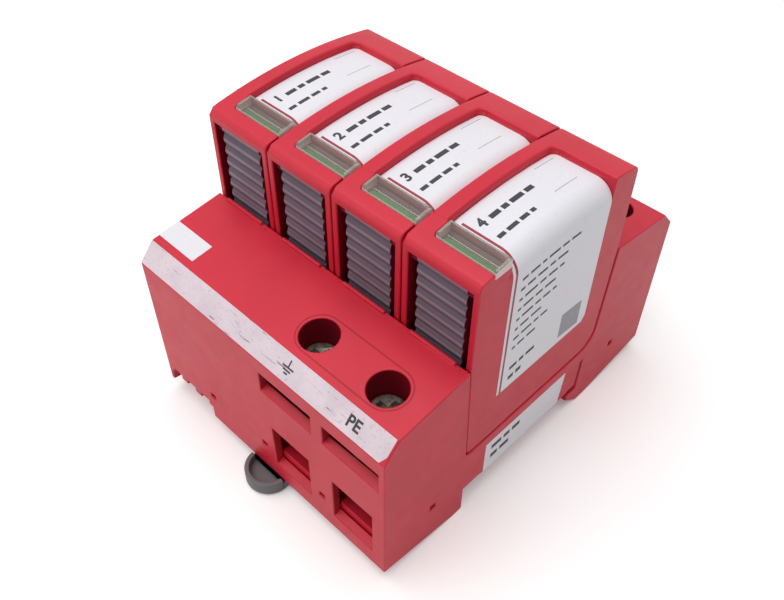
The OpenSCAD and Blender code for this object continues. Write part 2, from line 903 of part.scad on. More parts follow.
// Plug blades, each with a tab on one face of the disc
module module_blades() {
    color(copper)
        for (side = ends)
            rotate(side > 0 ? 0 : 180) {
                span([-blade_w / 2, blade_w / 2], [blade_y - blade_t / 2, blade_y + blade_t / 2],
                     [module_z - blade_out, module_z + cover_t + 2 * cut]);
                span([disc_t / 2, disc_t / 2 + tab_t], [cradle_y + cradle_l, blade_y + blade_t / 2],
                     [module_z + cover_t + cut, tab_top]);
            }
}

// One sub-part of a module
module module_part(name) {
    if (name == "housing") module_housing();
    if (name == "bottom") module_bottom();
    if (name == "window") module_window();
    if (name == "flag") module_flag();
    if (name == "slider") module_slider();
    if (name == "front_button") release_lever();
    if (name == "rear_button") rotate(180) release_lever();
    if (name == "varistor") module_varistor();
    if (name == "blades") module_blades();
}

base_housing();
base_bottom();
rail_clip();
pe_busbar();
for (i = pe_poles) {
    at_terminal(i, -1) terminal_screw();
    at_terminal(i, -1) clamp_cage();
}
for (i = poles) {
    at_terminal(i, 1) terminal_screw();
    at_terminal(i, 1) clamp_cage();
    line_contact(i);
    for (part = module_parts)
        translate([pole_x(i), 0, 0]) module_part(part);
}
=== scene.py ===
# %% [markdown]
# # A four-pole surge arrester
#
# The object clips onto a mounting rail in a switch cabinet. A red moulded base holds the screw
# terminals, and four red modules plug into it side by side. Each module has a small clear window
# with a green flag, two ribbed release levers and a white label that turns down its right side.
#
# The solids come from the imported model. This lesson rounds their edges, gives every material some
# life and adds the paper, the film and the print that a solid model leaves out.

# %% Load the frame
import math

import bmesh
import bpy
from mathutils import Matrix, Vector


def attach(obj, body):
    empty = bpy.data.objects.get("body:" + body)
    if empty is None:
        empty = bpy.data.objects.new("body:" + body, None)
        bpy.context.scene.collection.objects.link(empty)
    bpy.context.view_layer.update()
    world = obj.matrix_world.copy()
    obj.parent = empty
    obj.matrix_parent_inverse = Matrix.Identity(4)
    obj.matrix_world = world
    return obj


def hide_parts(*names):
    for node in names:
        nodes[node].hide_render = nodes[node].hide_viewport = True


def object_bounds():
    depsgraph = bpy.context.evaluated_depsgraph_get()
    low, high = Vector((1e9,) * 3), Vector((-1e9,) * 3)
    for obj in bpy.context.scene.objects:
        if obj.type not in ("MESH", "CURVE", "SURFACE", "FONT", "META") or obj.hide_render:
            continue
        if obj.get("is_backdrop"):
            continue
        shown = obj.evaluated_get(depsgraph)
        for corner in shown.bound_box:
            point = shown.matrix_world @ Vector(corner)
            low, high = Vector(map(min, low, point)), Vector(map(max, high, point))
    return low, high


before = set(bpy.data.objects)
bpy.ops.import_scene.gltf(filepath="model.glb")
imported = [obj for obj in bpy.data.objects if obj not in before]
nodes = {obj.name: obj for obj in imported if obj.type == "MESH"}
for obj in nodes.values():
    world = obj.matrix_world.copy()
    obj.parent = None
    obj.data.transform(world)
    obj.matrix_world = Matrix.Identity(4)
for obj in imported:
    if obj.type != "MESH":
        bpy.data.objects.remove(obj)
cad_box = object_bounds()
MM = 0.001

# %% [markdown]
# ## The camera
#
# A camera can be turned by eye until the picture looks right. Here its place was worked out from
# corners whose real distances are known, such as the 18 mm from one module to the next, so the
# three axes of the view are simply written down. The lens follows from the width of the picture.

# %% Place the camera
PICTURE_WIDTH = 784
FOCUS_PIXELS = 876.48
EYE = Vector((0.094262, -0.103679, 0.161713))
VIEW_RIGHT = Vector((0.713785, 0.700336, 0.006408))
VIEW_DOWN = Vector((0.50821, -0.511631, -0.692789))
VIEW_AHEAD = Vector((-0.481906, 0.497759, -0.721112))

lens = bpy.data.cameras.new("camera")
lens.sensor_fit = "HORIZONTAL"
lens.sensor_width = 36
lens.lens = lens.sensor_width * FOCUS_PIXELS / PICTURE_WIDTH
lens.clip_start = 0.01
camera = bpy.data.objects.new("camera", lens)
turn = Matrix((VIEW_RIGHT, -VIEW_DOWN, -VIEW_AHEAD)).transposed()
camera.matrix_world = Matrix.Translation(EYE) @ turn.to_4x4()
bpy.context.scene.collection.objects.link(camera)
bpy.context.scene.camera = camera
print("lens of", round(lens.lens, 1), "mm")

# %% [markdown]
# ## Light
#
# The photograph has soft, even light from above. One very large lamp far above gives that: the
# larger a lamp is, the softer its shadows are. A second, weaker lamp stands on the side of the
# earth terminals, because that face is brighter than the other one.

# %% Light the stage
AIM = Vector((0, 0, 0.02))


def add_lamp(name, place, size, power):
    """Adds a square lamp that faces the object."""
    light = bpy.data.lights.new(name, "AREA")
    light.shape = "SQUARE"
    light.size = size
    light.energy = power
    lamp = bpy.data.objects.new(name, light)
    lamp.location = place
    lamp.rotation_euler = (AIM - lamp.location).to_track_quat("-Z", "Y").to_euler()
    bpy.context.scene.collection.objects.link(lamp)


add_lamp("lamp_above", Vector((-0.1, -0.15, 1.2)), size=1.4, power=15.0)
add_lamp("lamp_front", Vector((-0.55, -0.8, 0.45)), size=0.6, power=1.3)
print(len(bpy.data.lights), "lamps")

# %% [markdown]
# ## The room
#
# With lamps alone the shadows would be too deep, so the world fills them with a weak, even light.
# The same world is white where the camera, a reflection or the clear plastic looks at it. The
# Light Path node tells these rays from the ones that only carry light, and the largest of its
# three answers sets the strength.

# %% Fill the shadows
FILL = 0.28
SEEN_BY = ("Is Camera Ray", "Is Glossy Ray", "Is Transmission Ray")
world = bpy.data.worlds.new("white_room")
world.use_nodes = True
bpy.context.scene.world = world
room = world.node_tree
backdrop = room.nodes["Background"]
backdrop.inputs["Color"].default_value = (1, 1, 1, 1)
path = room.nodes.new("ShaderNodeLightPath")
seen, *others = [path.outputs[kind] for kind in SEEN_BY]
for ray in others:
    either = room.nodes.new("ShaderNodeMath")
    either.operation = "MAXIMUM"
    room.links.new(seen, either.inputs[0])
    room.links.new(ray, either.inputs[1])
    seen = either.outputs[0]
strength = room.nodes.new("ShaderNodeMapRange")
strength.inputs["To Min"].default_value = FILL
strength.inputs["To Max"].default_value = 1
room.links.new(seen, strength.inputs["Value"])
room.links.new(strength.outputs["Result"], backdrop.inputs["Strength"])
bpy.context.scene.view_settings.view_transform = "Standard"
print("shadows filled by", FILL)

# %% [markdown]
# ## The floor
#
# The ground is plain white and takes a soft shadow. A grid of one face, just below the feet, is
# enough. Its dull paper gives off a little light, but only where the camera looks at it, so that it
# comes out white without throwing more light on the object.

# %% Lay the floor
FLOOR_SIZE = 3
FLOOR_GAP = 0.0001
FLOOR_GLOW = 0.2
floor_z = cad_box[0][2] - FLOOR_GAP
floor_mesh = bmesh.new()
bmesh.ops.create_grid(floor_mesh, x_segments=1, y_segments=1, size=FLOOR_SIZE / 2)
bmesh.ops.translate(floor_mesh, vec=(0, 0, floor_z), verts=floor_mesh.verts)
floor_data = bpy.data.meshes.new("floor")
floor_mesh.to_mesh(floor_data)
floor_mesh.free()
floor = bpy.data.objects.new("floor", floor_data)
bpy.context.scene.collection.objects.link(floor)
floor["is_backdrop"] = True

paper_white = bpy.data.materials.new("paper_white")
paper_white.use_nodes = True
paper_tree = paper_white.node_tree
paper_shader = paper_tree.nodes["Principled BSDF"]
paper_shader.inputs["Base Color"].default_value = (0.93, 0.93, 0.93, 1)
paper_shader.inputs["Roughness"].default_value = 0.9
paper_shader.inputs["Specular IOR Level"].default_value = 0
paper_shader.inputs["Emission Color"].default_value = (1, 1, 1, 1)
paper_path = paper_tree.nodes.new("ShaderNodeLightPath")
paper_lift = paper_tree.nodes.new("ShaderNodeMapRange")
paper_lift.inputs["To Max"].default_value = FLOOR_GLOW
paper_tree.links.new(paper_path.outputs["Is Camera Ray"], paper_lift.inputs["Value"])
paper_tree.links.new(paper_lift.outputs["Result"], paper_shader.inputs["Emission Strength"])
floor_data.materials.append(paper_white)
print("floor at", round(floor_z / MM, 2), "mm")

# %% [markdown]
# ## Finishes
#
# A flat colour looks like a drawing. Real surfaces have slow clouds of tone, a fine grain and a
# gloss that changes a little from place to place. All of that can come from noise on the object's
# own coordinates, so it stays on the part from any side. The small helpers below each add one such
# thing to a material.

# %% Helpers for finishes
def screen(red, green, blue):
    """Turns screen values from 0 to 255 into the linear values that a shader takes."""
    def linear(value):
        share = value / 255
        return share / 12.92 if share < 0.04 else ((share + 0.055) / 1.055) ** 2.4
    return linear(red), linear(green), linear(blue)


def new_finish(name):
    """Makes a material and returns it with its tree, its shader and the object coordinates."""
    finish = bpy.data.materials.new(name)
    finish.use_nodes = True
    tree = finish.node_tree
    place = tree.nodes.new("ShaderNodeTexCoord").outputs["Object"]
    return finish, tree, tree.nodes["Principled BSDF"], place


def noise(tree, place, grain, detail=2, stretch=(1, 1, 1)):
    """Noise whose spots are about grain metres wide, longer along an axis with a small stretch."""
    mapping = tree.nodes.new("ShaderNodeMapping")
    mapping.inputs["Scale"].default_value = stretch
    tree.links.new(place, mapping.inputs["Vector"])
    texture = tree.nodes.new("ShaderNodeTexNoise")
    texture.inputs["Scale"].default_value = 1 / grain
    texture.inputs["Detail"].default_value = detail
    tree.links.new(mapping.outputs["Vector"], texture.inputs["Vector"])
    return texture.outputs["Fac"]


def tones(tree, amount, dark, light, low=0.35, high=0.65):
    """Turns an amount into a colour between two tones."""
    ramp = tree.nodes.new("ShaderNodeValToRGB")
    first, last = ramp.color_ramp.elements
    first.position, last.position = low, high
    first.color, last.color = (*dark, 1), (*light, 1)
    tree.links.new(amount, ramp.inputs["Fac"])
    return ramp.outputs["Color"]


def levels(tree, amount, low, high):
    """Turns an amount from 0.3 to 0.7 into a value between two others."""
    node = tree.nodes.new("ShaderNodeMapRange")
    node.inputs["From Min"].default_value = 0.3
    node.inputs["From Max"].default_value = 0.7
    node.inputs["To Min"].default_value = low
    node.inputs["To Max"].default_value = high
    tree.links.new(amount, node.inputs["Value"])
    return node.outputs["Result"]


def relief(tree, shader, height, depth, strength):
    """Lets a height stir the light on the surface."""
    bump = tree.nodes.new("ShaderNodeBump")
    bump.inputs["Strength"].default_value = strength
    bump.inputs["Distance"].default_value = depth
    tree.links.new(height, bump.inputs["Height"])
    tree.links.new(bump.outputs["Normal"], shader.inputs["Normal"])


# %% [markdown]
# ## Plastics
#
# Nearly all of the object is moulded plastic. The steel of a mould is eroded, which leaves a fine
# grain on every moulding, and the colour is never quite even. One recipe with a different colour
# and gloss serves them all: red for the housings, darker and duller reds for the inner parts and as
# painted shade in the hollows, greys for the levers and the clip, with a painted highlight and
# painted shade on the levers.

# %% Mix the plastics
CLOUD, SHEEN, GRAIN = 0.012, 0.004, 0.00035
GRAIN_DEPTH = 0.00003
SHINIER, DULLER = 0.03, 0.04


def moulded(name, colour, gloss=0.42, spread=0.045, shine=0.34):
    """Moulded plastic: clouds of tone, an uneven gloss and the fine grain of the mould."""
    finish, tree, shader, place = new_finish(name)
    clouds = noise(tree, place, CLOUD, detail=4)
    dark = [c * (1 - spread) for c in colour]
    light = [min(1, c * (1 + spread)) for c in colour]
    tree.links.new(tones(tree, clouds, dark, light), shader.inputs["Base Color"])
    sheen = noise(tree, place, SHEEN, detail=3)
    roughness = levels(tree, sheen, gloss - SHINIER, gloss + DULLER)
    tree.links.new(roughness, shader.inputs["Roughness"])
    shader.inputs["Specular IOR Level"].default_value = shine
    grain = noise(tree, place, GRAIN, detail=1)
    relief(tree, shader, grain, GRAIN_DEPTH, strength=0.25)
    return finish


red_shell = moulded("red_shell", screen(200, 32, 54), gloss=0.4)
# A darker red for inner parts and the line round the earth terminals; on the cheeks of the openings
# it is painted shade.
red_dark_and_painted_shade = moulded("red_dark_and_painted_shade", screen(164, 20, 36), gloss=0.5)
# Painted shade: the darkest red stands for the shade in holes, hollows, recesses and deep gaps.
red_painted_shade = moulded("red_painted_shade", screen(116, 6, 26), gloss=0.7, shine=0.1)
lever_grey = moulded("lever_grey", screen(97, 82, 95), gloss=0.5, spread=0.08)
# Painted highlight: the lighter grey on the rib crests stands for the light they catch.
lever_painted_highlight = moulded("lever_painted_highlight", screen(132, 122, 134), gloss=0.45, spread=0.1)
# Painted shade: a dark red on the rib ends and pins, with a painted reflection of the recess.
lever_painted_shade = moulded("lever_painted_shade", screen(118, 24, 48), gloss=0.7, shine=0.1)
clip_grey = moulded("clip_grey", screen(108, 106, 108), gloss=0.5, spread=0.1)
flag_green = moulded("flag_green", screen(58, 108, 52), gloss=0.5, spread=0.15)
bed_brown = moulded("bed_brown", screen(166, 140, 138), gloss=0.6)
disc_blue = moulded("disc_blue", screen(50, 78, 130), gloss=0.5)
print("finishes so far:", ", ".join(m.name for m in bpy.data.materials))

# %% [markdown]
# ## Metals
#
# The screws and the cages are zinc plated and dirty, the strips inside are copper. One noise serves
# twice: where it makes the metal darker it also makes it duller, as dirt does.

# %% Mix the metals
def metal(name, bright, dull, gloss=0.38):
    """Plated metal with darker, duller patches."""
    finish, tree, shader, place = new_finish(name)
    patches = noise(tree, place, grain=0.0016, detail=5)
    colour = tones(tree, patches, dull, bright, low=0.36, high=0.6)
    tree.links.new(colour, shader.inputs["Base Color"])
    roughness = levels(tree, patches, gloss + 0.2, gloss - 0.06)
    tree.links.new(roughness, shader.inputs["Roughness"])
    shader.inputs["Metallic"].default_value = 1
    pits = noise(tree, place, grain=0.0003, detail=2)
    relief(tree, shader, pits, GRAIN_DEPTH, strength=0.3)
    return finish


zinc = metal("zinc", screen(168, 160, 152), screen(84, 74, 66))
copper = metal("copper", screen(226, 158, 112), screen(160, 98, 64))
print("metals:", zinc.name, "and", copper.name)

# %% [markdown]
# ## Clear plastic
#
# The windows are clear but a little cloudy, with pale edges. A glass shader would put the flag in
# the shade, because light doesn't go straight through it. A low alpha lets the light in, and the
# roof, the walls, the border and the back of a window each get an alpha of their own.

# %% Mix the clear plastic
def see_through(name, colour, alpha):
    """Clear plastic that lets most of what lies behind it through."""
    finish, tree, shader, place = new_finish(name)
    shader.inputs["Base Color"].default_value = (*colour, 1)
    shader.inputs["Alpha"].default_value = alpha
    roughness = levels(tree, noise(tree, place, grain=0.003), 0.08, 0.2)
    tree.links.new(roughness, shader.inputs["Roughness"])
    return finish


clear_roof = see_through("clear_roof", screen(236, 234, 222), alpha=0.06)
clear_wall = see_through("clear_wall", screen(236, 230, 226), alpha=0.72)
clear_rim = see_through("clear_rim", screen(214, 206, 192), alpha=0.34)
clear_back = see_through("clear_back", screen(178, 152, 152), alpha=0.85)
print("clear plastic in four strengths")

# %% [markdown]
# ## Film, ink and paper
#
# The labels are white film, and their print is ink on it: one colour with a few fine specks. The
# marking strip is old paper. It has a faint pink tint from the red below it, specks and thin grey
# scratches. Scratches are noise that is stretched along one axis, laid over the tint where the
# noise is high.

# %% Mix the film and the inks
def printed(name, colour, stain, gloss=0.4):
    """Film or ink on film: one colour with a few fine specks of another."""
    finish, tree, shader, place = new_finish(name)
    specks = noise(tree, place, grain=0.0007, detail=4)
    tinted = tones(tree, specks, stain, colour, low=0.2, high=0.42)
    tree.links.new(tinted, shader.inputs["Base Color"])
    shader.inputs["Roughness"].default_value = gloss
    return finish


label_white = printed("label_white", screen(228, 227, 233), screen(217, 215, 222))
ink_black = printed("ink_black", screen(38, 36, 40), screen(70, 68, 72), gloss=0.5)
ink_grey = printed("ink_grey", screen(150, 148, 154), screen(178, 176, 182), gloss=0.5)
ink_red = printed("ink_red", screen(152, 36, 60), screen(176, 70, 90), gloss=0.5)
print("one film and three inks")

# %% Mix the paper of the strip
# A Mix node's colour sockets share their names with others, so they are picked by number.
MIX_GROUND, MIX_COVER, MIX_RESULT = 6, 7, 2


def marked(tree, ground, amount, low, high, colour):
    """Lays a colour over a ground where an amount rises from low to high."""
    share = tree.nodes.new("ShaderNodeMapRange")
    share.inputs["From Min"].default_value = low
    share.inputs["From Max"].default_value = high
    tree.links.new(amount, share.inputs["Value"])
    mix = tree.nodes.new("ShaderNodeMix")
    mix.data_type = "RGBA"
    tree.links.new(share.outputs["Result"], mix.inputs["Factor"])
    tree.links.new(ground, mix.inputs[MIX_GROUND])
    mix.inputs[MIX_COVER].default_value = (*colour, 1)
    return mix.outputs[MIX_RESULT]


strip_paper, strip_tree, strip_shader, strip_place = new_finish("strip_paper")
tint = tones(strip_tree, noise(strip_tree, strip_place, grain=0.006, detail=4),
             screen(212, 195, 204), screen(224, 208, 216))
specks = noise(strip_tree, strip_place, grain=0.0006, detail=4)
scratches = noise(strip_tree, strip_place, grain=0.0005, detail=3, stretch=(0.1, 1, 1))
dusty = marked(strip_tree, tint, specks, 0.6, 0.8, screen(176, 160, 170))
worn = marked(strip_tree, dusty, scratches, 0.64, 0.7, screen(132, 118, 128))
strip_tree.links.new(worn, strip_shader.inputs["Base Color"])
strip_shader.inputs["Roughness"].default_value = 0.7
relief(strip_tree, strip_shader, scratches, depth=0.00005, strength=0.3)
print(len(bpy.data.materials), "materials")

# %% [markdown]
# ## From a solid to a moulding
#
# A solid from a CAD program has knife-sharp edges, and no moulding has. Its mesh is also loose
# triangles. So each visible node is copied, its points are merged, its flat faces are joined again,
# and then the outer edges are bevelled. Three segments catch the light like a real round edge.
# Where two bevels meet, some points fall together, and these are merged too. The Weighted Normal
# modifier keeps the large faces flat in the shading.

# %% Helpers for pieces
CAD_MERGE, BEVEL_MERGE = 2e-6, 1e-6
FLAT = math.radians(0.4)
SMOOTH = math.radians(38)


def join_flat(bm):
    """Joins the faces that lie in one plane."""
    bmesh.ops.dissolve_limit(bm, angle_limit=FLAT, verts=bm.verts, edges=bm.edges)


def copied(node):
    """The mesh of a CAD node with merged points and joined flat faces."""
    bm = bmesh.new()
    bm.from_mesh(nodes[node].data)
    bmesh.ops.remove_doubles(bm, verts=bm.verts, dist=CAD_MERGE)
    join_flat(bm)
    return bm


def outer_edges(bm, chosen=lambda edge: True, sharp=40):
    """The outward edges between faces that meet at more than an angle in degrees."""
    limit = math.radians(sharp)
    return [e for e in bm.edges
            if e.is_manifold and e.is_convex and e.calc_face_angle() > limit and chosen(e)]


def rounded(bm, edges, width, segments=3):
    """Bevels edges to a round of that width in metres."""
    bmesh.ops.bevel(bm, geom=edges, offset=width, offset_type="OFFSET", segments=segments,
                    profile=0.5, affect="EDGES", clamp_overlap=False, loop_slide=True, material=-1)
    bmesh.ops.remove_doubles(bm, verts=bm.verts, dist=BEVEL_MERGE)


def add_piece(bm, name, body, finishes, stands_for=()):
    """Makes an object of a mesh, shades it, puts it on its body and lets it stand for nodes."""
    mesh = bpy.data.meshes.new(name)
    bm.to_mesh(mesh)
    bm.free()
    mesh.shade_smooth()
    mesh.set_sharp_from_angle(angle=SMOOTH)
    for finish in finishes:
        mesh.materials.append(finish)
    piece = bpy.data.objects.new(name, mesh)
    bpy.context.scene.collection.objects.link(piece)
    even = piece.modifiers.new("even_shading", "WEIGHTED_NORMAL")
    even.keep_sharp = True
    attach(piece, body)
    if stands_for:
        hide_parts(*stands_for)
    return piece


# %% [markdown]
# ## The base
#
# The base is one red moulding with a bottom part snapped into it. The screwdriver holes and the
# hollows behind the slots get a dark, dull red inside, which is painted shade. A second object
# could carry the darker red, but a second material on the same mesh is simpler. The faces are found
# by their place, and the cheeks of the openings get a red in between, which is also painted shade.

# %% Find the openings of the base
POLE_PITCH = 18
POLES = (1, 2, 3, 4)
TERMINAL_Y = 35
HOLE_R = 4
WALL_Y = (43, 45)
HOLLOW_X, HOLLOW_Y, HOLLOW_Z = 34.02, (25.05, 43.02), (2.7, 37.6)
NEAR = 0.02
UPRIGHT, SIDEWAYS = 0.2, 0.9
pole_x = {pole: (pole - 2.5) * POLE_PITCH for pole in POLES}


def in_terminal(face):
    """Tells whether a face is inside a screwdriver hole or in the hollow of a terminal block."""
    middle = face.calc_center_median() / MM
    off_axis = min(math.hypot(middle.x - x, abs(middle.y) - TERMINAL_Y) for x in pole_x.values())
    in_hole = off_axis < HOLE_R + NEAR and abs(face.normal.z) < UPRIGHT
    in_hollow = (abs(middle.x) < HOLLOW_X and HOLLOW_Y[0] < abs(middle.y) < HOLLOW_Y[1]
                 and HOLLOW_Z[0] < middle.z < HOLLOW_Z[1])
    return in_hole or in_hollow


def in_mouth(face):
    """Tells whether a face is the cheek of a slot or a wire entry in the front or rear wall."""
    middle = face.calc_center_median() / MM
    return (abs(face.normal.x) > SIDEWAYS and abs(middle.x) < HOLLOW_X
            and WALL_Y[0] < abs(middle.y) < WALL_Y[1])


print("poles at x =", list(pole_x.values()), "mm")

# %% [markdown]
# The lips of the slots and the sills of the wire entries lie a little lower inside than the plain
# solid has them. Moving only their points would fold the flat wall round them. So the inner faces
# of the two walls are taken out, the points are moved down, and the walls are filled again round
# the openings.

# %% Slope the lips and the sills
LIP_Z, LIP_DROP = 26.0, 0.5
SILL_Z, SILL_DROP = 4.1, 2.4
TOUCH = 0.01


def at_wall(vert):
    """Tells whether a point lies on the inside of the front or rear wall."""
    return abs(abs(vert.co.y) / MM - WALL_Y[0]) < TOUCH


def lower(bm, height, drop):
    """Moves the points at one height on the inside of the walls down."""
    for vert in bm.verts:
        if at_wall(vert) and abs(vert.co.z / MM - height) < TOUCH:
            vert.co.z = (height - drop) * MM


base_bm = copied("base_housing")
inner_walls = [face for face in base_bm.faces if all(at_wall(v) for v in face.verts)]
bmesh.ops.delete(base_bm, geom=inner_walls, context="FACES")
lower(base_bm, LIP_Z, LIP_DROP)
lower(base_bm, SILL_Z, SILL_DROP)
for out in (-1, 1):
    rim = [e for e in base_bm.edges if e.is_boundary and e.verts[0].co.y * out > 0]
    bmesh.ops.triangle_fill(base_bm, edges=rim, use_beauty=True, use_dissolve=False,
                            normal=(0, -out, 0))
join_flat(base_bm)
bmesh.ops.recalc_face_normals(base_bm, faces=base_bm.faces)
print("open edges of the base:", sum(e.is_boundary for e in base_bm.edges))

# %% [markdown]
# The edges of the base are only just broken, so a narrow round is enough. The same width fits the
# holes, the slots and the small openings too, so all the outer edges are bevelled at once.

# %% Round the base
EDGE = 0.28 * MM
rounded(base_bm, outer_edges(base_bm), EDGE)
# Painted shade: the darkest red in the holes and hollows, a lesser red on the cheeks of the
# openings.
for face in base_bm.faces:
    face.material_index = 1 if in_terminal(face) else 2 if in_mouth(face) else 0
base = add_piece(base_bm, "base_shell", "base", [red_shell, red_painted_shade, red_dark_and_painted_shade],
                 ["base_housing"])
print("base:", len(base.data.polygons), "faces")

# %% [markdown]
# ## Pieces that keep their solids
#
# The contacts, the clamp cages, the discs and the plug blades are hidden, or show only deep inside
# an opening. Copying and rounding them would change nothing that one can see, so their solids stay
# and only get a better material.

# %% Paint the hidden pieces
TERMINALS = [f"pe_{{}}_{n}" for n in (1, 2)] + [f"line_{{}}_{n}" for n in POLES]


def paint(node, finish):
    """Gives a CAD node that keeps its own shape a better material."""
    data = nodes[node].data
    data.materials.clear()
    data.materials.append(finish)


paint("base_bottom", red_shell)
paint("pe_busbar", copper)
for pole in POLES:
    paint(f"line_contact_{pole}", copper)
    paint(f"module_{pole}_bottom", red_dark_and_painted_shade)
    paint(f"module_{pole}_slider", red_dark_and_painted_shade)
    paint(f"module_{pole}_varistor", disc_blue)
    paint(f"module_{pole}_blades", copper)
for terminal in TERMINALS:
    paint(terminal.format("cage"), zinc)
print("painted the inside of", len(POLES), "poles and", len(TERMINALS), "cages")

# %% [markdown]
# ## Screws and clip
#
# The screw heads sit deep in round holes, where only a worn cross and a bright rim show. So only
# the rim of a head is rounded, and the cross stays sharp and dark. The grey clip is pulled by its
# dished tab to let the base off the rail. All its edges are rounded alike.

# %% Round the screws and the clip
RIM_R = 3
HEAD_ROUND, CLIP_ROUND = 0.16 * MM, 0.3 * MM


def at_head_rim(bm):
    """A test for the edges of a screw that lie further out than a radius."""
    axis = sum((v.co for v in bm.verts), Vector()) / len(bm.verts)
    return lambda edge: min((v.co - axis).xy.length for v in edge.verts) > RIM_R * MM


for terminal in TERMINALS:
    screw = terminal.format("screw")
    screw_bm = copied(screw)
    rounded(screw_bm, outer_edges(screw_bm, at_head_rim(screw_bm)), HEAD_ROUND)
    add_piece(screw_bm, f"{screw}_metal", screw, [zinc], [screw])
clip_bm = copied("rail_clip")
rounded(clip_bm, outer_edges(clip_bm), CLIP_ROUND)
clip = add_piece(clip_bm, "clip_moulding", "rail_clip", [clip_grey], ["rail_clip"])
print(len(TERMINALS), "screws, clip of", len(clip.data.polygons), "faces")

# %% [markdown]
# ## The modules
#
# A module's housing is softer than the base: the edges of its arched top are rounded by more than a
# millimetre at the ends, and those that lead down into the label field by half as much. An edge
# could be picked by its number, but numbers change with every change of the solid. So the edges are
# found by their place on the arch, which is part of a circle.

# %% Find the edges of a module
MODULE_HALF, MODULE_SIDE = 22.8, 8.8
CROWN_Z, CROWN_RISE = 63.8, 2.2
CROWN_R = (MODULE_HALF ** 2 + CROWN_RISE ** 2) / (2 * CROWN_RISE)
ARCH_Z = CROWN_Z - CROWN_R
CROWN_NEAR = 0.06
TOP_END_Z, TOP_END_REACH = 61, 0.2
FIELD_LEFT, FIELD_FRONT, FIELD_BACK = -5.4, -14.6, 15.1
RIM_NEAR, RIM_REACH = 0.05, 0.25


def ends(edge):
    """The places of the two ends of an edge, in millimetres."""
    return [v.co / MM for v in edge.verts]


def on_crown(place):
    """Tells whether a place lies on the arched top."""
    return abs(place.z - ARCH_Z - math.sqrt(CROWN_R ** 2 - place.y ** 2)) < CROWN_NEAR


def at_top_end(edge):
    """Tells whether an edge runs across the front or rear end of the arched top."""
    return all(p.z > TOP_END_Z and abs(p.y) > MODULE_HALF - TOP_END_REACH for p in ends(edge))


def at_field_rim(x):
    """A test for the edges that lead from the arched top of a module at x into its label field."""
    left, front, back = x + FIELD_LEFT - RIM_NEAR, FIELD_FRONT - RIM_REACH, FIELD_BACK + RIM_NEAR
    return lambda edge: all(on_crown(p) and p.x > left and front < p.y < back for p in ends(edge))


print("the arch has a radius of", round(CROWN_R, 1), "mm")

# %% [markdown]
# The wide rounds come first. The other edges follow with the narrow one, apart from those at the
# open end of the window, where a red ledge comes later. The recesses of the levers get the same
# dull, dark red as the screw holes, which is painted shade.

# %% Round the module housings
TOP_ROUND, FIELD_ROUND = 1.3 * MM, 0.6 * MM
WINDOW_FRONT, WINDOW_FLOOR = -19.2, 59.2
LEDGE_NEAR = 0.1
RECESS_HALF, RECESS_Y, RECESS_Z = 7.42, (19, 22.5), (34.5, 59.15)


def off_ledge(x):
    """A test for the edges that aren't round the open end of the window of a module at x."""
    side, floor_level = x + MODULE_SIDE - LEDGE_NEAR, WINDOW_FLOOR - LEDGE_NEAR
    front, back = WINDOW_FRONT - LEDGE_NEAR, FIELD_FRONT + LEDGE_NEAR
    return lambda edge: not all(p.x > side and front < p.y < back and p.z > floor_level
                                for p in ends(edge))


def in_recess(face, x):
    """Tells whether a face lies in a lever recess of a module at x."""
    middle = face.calc_center_median() / MM
    return (abs(middle.x - x) < RECESS_HALF and RECESS_Y[0] < abs(middle.y) < RECESS_Y[1]
            and RECESS_Z[0] < middle.z < RECESS_Z[1])


for pole in POLES:
    name, x = f"module_{pole}", pole_x[pole]
    shell_bm = copied(f"{name}_housing")
    rounded(shell_bm, outer_edges(shell_bm, at_top_end), TOP_ROUND, segments=5)
    rounded(shell_bm, outer_edges(shell_bm, at_field_rim(x)), FIELD_ROUND, segments=4)
    rounded(shell_bm, outer_edges(shell_bm, off_ledge(x)), EDGE)
    # Painted shade: the faces in the lever recesses get the darkest red.
    for face in shell_bm.faces:
        face.material_index = int(in_recess(face, x))
    shell = add_piece(shell_bm, f"{name}_shell", name, [red_shell, red_painted_shade],
                      [f"{name}_housing"])
print("module:", len(shell.data.polygons), "faces")

# %% [markdown]
# ## Levers
#
# Two fingers press the ribbed levers of a module together to pull it out. The ribs come from the
# solid. The faces that lie furthest out get a lighter grey, which is a painted highlight on the
# crests. The flat ends of the ribs and the pins on which a lever swings lie in the shade, so they
# get a dark red that is painted shade with a painted reflection of the red recess.

# %% Round the levers
CREST_Y = 22.14
LEVER_HALF = 5.75
LEVER_ROUND = 0.12 * MM


def lever_tone(face, x):
    """The finish of a lever's face: 2, painted shade, on the pins and rib ends, 1, a painted
    highlight, on the crests, or else 0.
    """
    middle = face.calc_center_median() / MM
    if abs(middle.x - x) > LEVER_HALF - NEAR:
        return 2
    return int(abs(middle.y) > CREST_Y)


for pole in POLES:
    for end in ("front", "rear"):
        lever = f"module_{pole}_{end}_button"
        lever_bm = copied(lever)
        rounded(lever_bm, outer_edges(lever_bm, sharp=60), LEVER_ROUND, segments=2)
        for face in lever_bm.faces:
            face.material_index = lever_tone(face, pole_x[pole])
        add_piece(lever_bm, f"{lever}_ribs", lever, [lever_grey, lever_painted_highlight, lever_painted_shade],
                  [lever])
print(2 * len(POLES), "levers")

# %% [markdown]
# ## Dark modules
#
# Beside a lever, the solid lets one look straight through the hollow module and out at its other
# end. In the real module the disc is potted, and nothing shines through. A block could fill the
# whole module, but two thin plates beside the disc are enough to close the view.

# %% Close the view through the modules
STOP_X, STOP_HALF, STOP_Z = (3.55, 7.35), 0.3, (15.4, 56.9)


